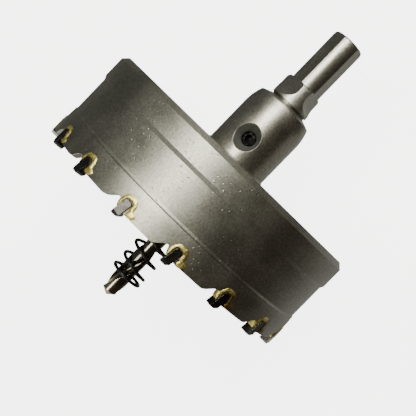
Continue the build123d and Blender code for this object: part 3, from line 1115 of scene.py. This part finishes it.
@dataclass
class Cup:
    """The cup: the CAD's turned body, with its back edge, step and groove eased by blasting.

    Depths are counted from the back face towards the rim.
    """

    effects: Effects
    radius: float = 49.6 * MM
    chamfer: float = 0.7 * MM
    eased_chamfer: float = 1.85 * MM
    relief_radius: float = 48.95 * MM
    step_foot: float = 9.7 * MM
    eased_step_foot: float = 10.5 * MM
    groove: float = 24.2 * MM
    groove_radius: float = 49.15 * MM
    eased_groove_radius: float = 49.22 * MM
    tolerance: float = 0.02 * MM
    merge_distance: float = 0.001 * MM
    sharp_angle: float = radians(14.0)

    def _eased(self, depth: float, radius: float) -> Pair:
        """Where a point of the turned profile ends up.

        Args:
            depth: How far it is below the back face.
            radius: Its distance from the axis.

        Returns:
            Its new depth and radius.
        """
        moves = (
            ((0.0, self.radius - self.chamfer), (0.0, self.radius - self.eased_chamfer)),
            ((self.chamfer, self.radius), (self.eased_chamfer, self.radius)),
            ((self.groove, self.groove_radius), (self.groove, self.eased_groove_radius)),
            ((self.step_foot, self.relief_radius), (self.eased_step_foot, self.relief_radius)),
        )
        for (old_depth, old_radius), new in moves:
            if abs(depth - old_depth) < self.tolerance and abs(radius - old_radius) < self.tolerance:
                return new
        return depth, radius

    def build(self) -> None:
        """Makes the cup from a merged copy of the CAD's mesh."""
        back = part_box("cup")[1].x
        shape = bmesh.new()
        shape.from_mesh(frame["nodes"]["cup"].data)
        bmesh.ops.remove_doubles(shape, verts=shape.verts, dist=self.merge_distance)
        for vertex in shape.verts:
            x, y, z = vertex.co
            radius = hypot(y, z)
            depth, eased_radius = self._eased(back - x, radius)
            share = eased_radius / radius
            vertex.co = (back - depth, y * share, z * share)
        mesh = bpy.data.meshes.new("cup_body")
        shape.to_mesh(mesh)
        shape.free()
        for name in ("custom_normal", "sharp_face", "sharp_edge"):
            if name in mesh.attributes:
                mesh.attributes.remove(mesh.attributes[name])
        mesh.set_sharp_from_angle(angle=self.sharp_angle)
        mesh.materials.clear()
        mesh.materials.append(SatinNickel("cup satin nickel", heated=True).material(self.effects))
        piece = placed("cup_body", mesh)
        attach(piece, Body.SAW.value)
        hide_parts("cup")
        LOG.info("cup: %d faces", len(mesh.polygons))


@dataclass
class Arbor:
    """The arbor with its grub screw. Heights are over the cup's back face."""

    effects: Effects
    screw_angle: float = radians(-14.0)
    screw_height: float = 8.0 * MM
    groove_height: float = 24.9 * MM
    groove_half_width: float = 0.4 * MM

    def dress(self) -> None:
        """Gives the arbor and the screw their finishes."""
        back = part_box("cup")[1].x
        steel = SatinNickel(
            "arbor satin nickel",
            colour=(0.54, 0.53, 0.46, 1.0),
            roughness=0.35,
            grain_depth=2.6e-5,
            speck_share=0.12,
            line_depth=3e-6,
            # Painted shade: the groove and mouth entries darken the neck groove and the screw's mouth.
            groove=(back + self.groove_height, self.groove_half_width),
            mouth=(back + self.screw_height, self.screw_angle),
        )
        screw = BlackSteel(
            "screw black",
            colour=(0.002, 0.002, 0.002, 1.0),
            rubbed=(0.12, 0.12, 0.11, 1.0),
            roughness=0.34,
            metallic=1.0,
        )
        finish_node("arbor", steel.material(self.effects))
        finish_node("grub_screw", screw.material(self.effects))
        LOG.info("arbor and grub screw")


@dataclass
class PilotDrill:
    """The twist drill in the middle."""

    effects: Effects
    land_radius: float = 3.0 * MM

    def dress(self) -> None:
        """Gives the drill its finish, with the bright lips at its point."""
        steel = DrillSteel("drill steel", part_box("pilot_drill")[0].x, self.land_radius)
        finish_node("pilot_drill", steel.material(self.effects))
        LOG.info("pilot drill")


@dataclass
class EjectorSpring:
    """The left-hand coil that pushes the cut disc out: closed and dead at both ends."""

    effects: Effects
    coil_radius: float = 5.425 * MM
    wire_radius: float = 0.575 * MM
    pitch: float = 5.35 * MM
    dead_turns: float = 0.5
    closing_turns: float = 0.7
    free_end_angle: float = radians(210.0)
    lean: float = 0.6 * MM
    steps_per_turn: int = 40
    wire_sides: int = 14

    def __post_init__(self) -> None:
        """Reads the spring's ends from the frame and works out its turns."""
        low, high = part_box("ejector_spring")
        self.start = low.x + self.wire_radius
        self.height = high.x - self.wire_radius - self.start
        end_turns = self.dead_turns + self.closing_turns
        climb = self.pitch * self.closing_turns / 2
        self.turns = 2 * end_turns + (self.height - 2 * climb) / self.pitch

    @staticmethod
    def _rise() -> bpy.types.NodeTree:
        """How far the wire has climbed after so many turns from an end.

        Returns:
            The group.
        """
        inputs = dict.fromkeys(("Turns", "Pitch", "Dead Turns", "Closing Turns"), Kind.VALUE)
        graph = Group("Rise of the wire", Tree.GEOMETRY, inputs)
        turns, pitch, dead_turns, closing_turns = (graph.given[name] for name in inputs)
        gone = graph.minus(turns, dead_turns)
        closing = graph.math("MINIMUM", graph.math("MAXIMUM", gone, 0.0), closing_turns)
        opened = graph.math("MAXIMUM", graph.minus(gone, closing_turns), 0.0)
        bent = graph.over(graph.times(closing, closing), graph.times(closing_turns, 2.0))
        return graph.close({"Rise": graph.times(pitch, graph.plus(bent, opened))})

    def _coil_place(self, graph: Group) -> Socket:
        """Works out where each point of the wire lies.

        Args:
            graph: The tree.

        Returns:
            The place.
        """
        given = graph.given
        along = graph.add("GeometryNodeSplineParameter").outputs["Factor"]
        done = graph.times(along, given["Turns"])
        shared = {name: given[name] for name in ("Pitch", "Dead Turns", "Closing Turns")}
        rise = self._rise()
        from_front, from_back = (
            graph.make("GeometryNodeGroup", {"Turns": turns, **shared}, node_tree=rise)
            for turns in (done, graph.minus(given["Turns"], done))
        )
        ends = {
            "Switch": graph.math("LESS_THAN", along, 0.5),
            "False": graph.minus(given["Height"], from_back),
            "True": from_front,
        }
        climbed = graph.make("GeometryNodeSwitch", ends, input_type="FLOAT")
        angle = graph.minus(given["End Angle"], graph.times(done, 2 * pi))
        aside = graph.times(given["Lean"], graph.minus(1.0, along))
        across = graph.times(given["Coil Radius"], graph.math("SINE", graph.plus(angle, pi)))
        up = graph.times(given["Coil Radius"], graph.math("COSINE", angle))
        return graph.join(graph.plus(given["Start"], climbed), graph.minus(across, aside), up)

    def _tree(self, values: Mapping[str, float]) -> bpy.types.NodeTree:
        """Builds the coil's tree.

        Args:
            values: The inputs' values, by name.

        Returns:
            The tree.
        """
        graph = Group("Ejector coil", Tree.GEOMETRY, {"Geometry": Kind.GEOMETRY, **values})
        line = graph.make("GeometryNodeCurvePrimitiveLine", {"End": (1.0, 0.0, 0.0)})
        path = graph.make("GeometryNodeResampleCurve", {"Curve": line, "Count": graph.given["Steps"]})
        coil = graph.move(path, self._coil_place(graph))
        round_wire = {"Resolution": graph.given["Wire Sides"], "Radius": graph.given["Wire Radius"]}
        section = graph.make("GeometryNodeCurvePrimitiveCircle", round_wire)
        swept = {"Curve": coil, "Profile Curve": section, "Fill Caps": True}
        wire = graph.make("GeometryNodeCurveToMesh", swept)
        return graph.close_shape(wire, BlackSteel("spring black").material(self.effects))

    def build(self) -> None:
        """Makes the spring, as a mesh."""
        values = {
            "Coil Radius": self.coil_radius,
            "Wire Radius": self.wire_radius,
            "Pitch": self.pitch,
            "Height": self.height,
            "Start": self.start,
            "Turns": self.turns,
            "Dead Turns": self.dead_turns,
            "Closing Turns": self.closing_turns,
            "End Angle": self.free_end_angle,
            "Lean": self.lean,
            "Steps": round(self.turns * self.steps_per_turn),
            "Wire Sides": self.wire_sides,
        }
        piece = grown_piece("ejector_coil", self._tree(values), values)
        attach(piece, Body.SAW.value)
        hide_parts("ejector_spring")
        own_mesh(piece)
        LOG.info("ejector spring: %.2f turns", self.turns)


# The studio


@dataclass(frozen=True)
class SoftLight:
    """A soft oval light: its place, its length along the saw and width across it, and its watts."""

    name: str
    place: Place
    size: Pair
    power: float

    def build(self, colour: Place, target: Place) -> None:
        """Hangs the light.

        Args:
            colour: Its tint.
            target: What it faces.
        """
        data = bpy.data.lights.new(self.name, "AREA")
        data.shape = "ELLIPSE"
        data.size, data.size_y = self.size
        data.energy = self.power
        data.color = colour
        away = (Vector(self.place) - Vector(target)).normalized()
        along = Vector((1.0, 0.0, 0.0))
        along = (along - along.dot(away) * away).normalized()
        facing = Matrix((along, away.cross(along), away)).transposed().to_4x4()
        light = placed(self.name, data)
        light.matrix_world = Matrix.Translation(self.place) @ facing
        light.visible_camera = False


@dataclass(frozen=True)
class Studio:
    """A pale floor, a broad soft light above, smaller ones behind, in front and beside, and a dim room."""

    floor_size: float = 6.0
    floor_colour: Colour = (0.86, 0.86, 0.85, 1.0)
    floor_glow: float = 4.5
    fibre_scale: float = 60.0
    fibre_tones: Pair = (0.97, 1.0)
    lights: tuple[SoftLight, ...] = (
        SoftLight("key", (0.15, 0.365, 0.82), (1.10, 0.37), 9.6),
        SoftLight("rear", (0.69, 0.25, 0.45), (0.32, 0.32), 3.5),
        SoftLight("front", (-0.62, 0.05, 0.0), (0.09, 0.3), 1.0),
        SoftLight("card", (-0.03, -0.14, 0.0), (0.06, 0.09), 0.0024),
    )
    light_colour: Place = (1.0, 0.985, 0.88)
    cup_middle: Place = (-0.06, 0.0, 0.0)
    shaded_side: Colour = (0.030, 0.023, 0.017, 1.0)
    lit_side: Colour = (0.074, 0.076, 0.072, 1.0)
    front_side: Colour = (0.84, 0.83, 0.77, 1.0)
    table_side: Colour = (0.36, 0.36, 0.34, 1.0)
    downward: Pair = (0.0, -0.9)
    leftward: Pair = (-0.2, 0.3)
    forward: Pair = (-0.5, -0.85)
    front_edge: Pair = (-0.35, 0.15)
    front_fade: Pair = (0.35, 0.7)
    faded_front: float = 0.35
    past_floor: Colour = (4.5, 4.5, 4.5, 1.0)

    def build(self) -> None:
        """Makes the floor, the lights and the surroundings."""
        self._floor()
        for light in self.lights:
            light.build(self.light_colour, self.cup_middle)
        self._surroundings()
        LOG.info("studio")

    def _floor(self) -> None:
        """A plain pale floor under the saw, which its polished steel doesn't mirror."""
        half = self.floor_size / 2
        level = cad_box[0].z
        corners = [(-half, -half, level), (half, -half, level), (half, half, level), (-half, half, level)]
        mesh = bpy.data.meshes.new("floor")
        mesh.from_pydata(corners, [], [(0, 1, 2, 3)])
        material, graph, shader = new_material("floor paper")
        fibre = graph.ramp(graph.noise(graph.place(), self.fibre_scale), *NOISE, *self.fibre_tones)
        values = {
            "Base Color": graph.mix(1.0, self.floor_colour, graph.grey(fibre), "MULTIPLY"),
            "Roughness": 0.95,
            "Emission Color": (1.0, 1.0, 1.0, 1.0),
            "Emission Strength": self.floor_glow,
        }
        for name, value in values.items():
            graph.feed(shader.inputs[name], value)
        mesh.materials.append(material)
        floor = placed("floor", mesh)
        floor.visible_glossy = False
        floor.visible_diffuse = False

    def _surroundings(self) -> None:
        """A dim room: lighter below and in front, and pale where the camera sees past the floor."""
        world = bpy.data.worlds.new("room")
        world.use_nodes = True
        bpy.context.scene.world = world
        graph = Graph(world.node_tree)
        shader = world.node_tree.nodes["Background"]
        direction = graph.add("ShaderNodeTexCoord").outputs["Generated"]
        along, side, height = graph.split(direction)
        right = graph.mix(graph.ramp(height, *self.downward), self.shaded_side, self.table_side)
        room = graph.mix(graph.ramp(side, *self.leftward), right, self.lit_side)
        ahead = graph.times(graph.ramp(along, *self.forward), graph.ramp(side, *self.front_edge))
        in_front = graph.times(ahead, graph.ramp(side, *self.front_fade, 1.0, self.faded_front))
        room = graph.mix(in_front, room, self.front_side)
        seen = graph.add("ShaderNodeLightPath").outputs["Is Camera Ray"]
        graph.feed(shader.inputs["Color"], graph.mix(seen, room, self.past_floor))


@dataclass(frozen=True)
class ProductCamera:
    """The camera, above the saw and turned so that the shank points to the upper right."""

    from_back_face: float = 0.000115
    side: float = 0.007454
    height: float = 0.32344
    pitch: float = radians(-3.127)
    yaw: float = radians(-2.125)
    roll: float = radians(44.24)
    focal_pixels: float = 979.97
    image_pixels: float = 416.0
    sensor_mm: float = 36.0
    nearest: float = 0.01

    def build(self) -> None:
        """Makes the camera and hands it to the scene."""
        data = bpy.data.cameras.new("product camera")
        data.sensor_width = self.sensor_mm
        data.lens = self.focal_pixels * self.sensor_mm / self.image_pixels
        data.clip_start = self.nearest
        forward = Vector((sin(self.pitch), sin(self.yaw), -1.0)).normalized()
        level_right = forward.cross(Vector((1.0, 0.0, 0.0))).normalized()
        level_up = level_right.cross(forward)
        right = cos(self.roll) * level_right + sin(self.roll) * level_up
        up = cos(self.roll) * level_up - sin(self.roll) * level_right
        turn = Matrix((right, up, -forward)).transposed().to_4x4()
        place = (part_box("cup")[1].x + self.from_back_face, self.side, self.height)
        camera = placed("product camera", data)
        camera.matrix_world = Matrix.Translation(place) @ turn
        bpy.context.scene.camera = camera
        LOG.info("camera: %.1f mm lens", data.lens)


def main() -> None:
    """Builds every class in order."""
    logging.basicConfig(level=logging.INFO, format="%(name)s: %(message)s")
    ProductCamera().build()
    teeth = ToothRing()
    effects = Effects(teeth)
    Cup(effects).build()
    teeth.dress(effects)
    MoltenBraze(effects, teeth).build()
    Arbor(effects).dress()
    PilotDrill(effects).dress()
    EjectorSpring(effects).build()
    Studio().build()


if __name__ == "__main__":
    main()
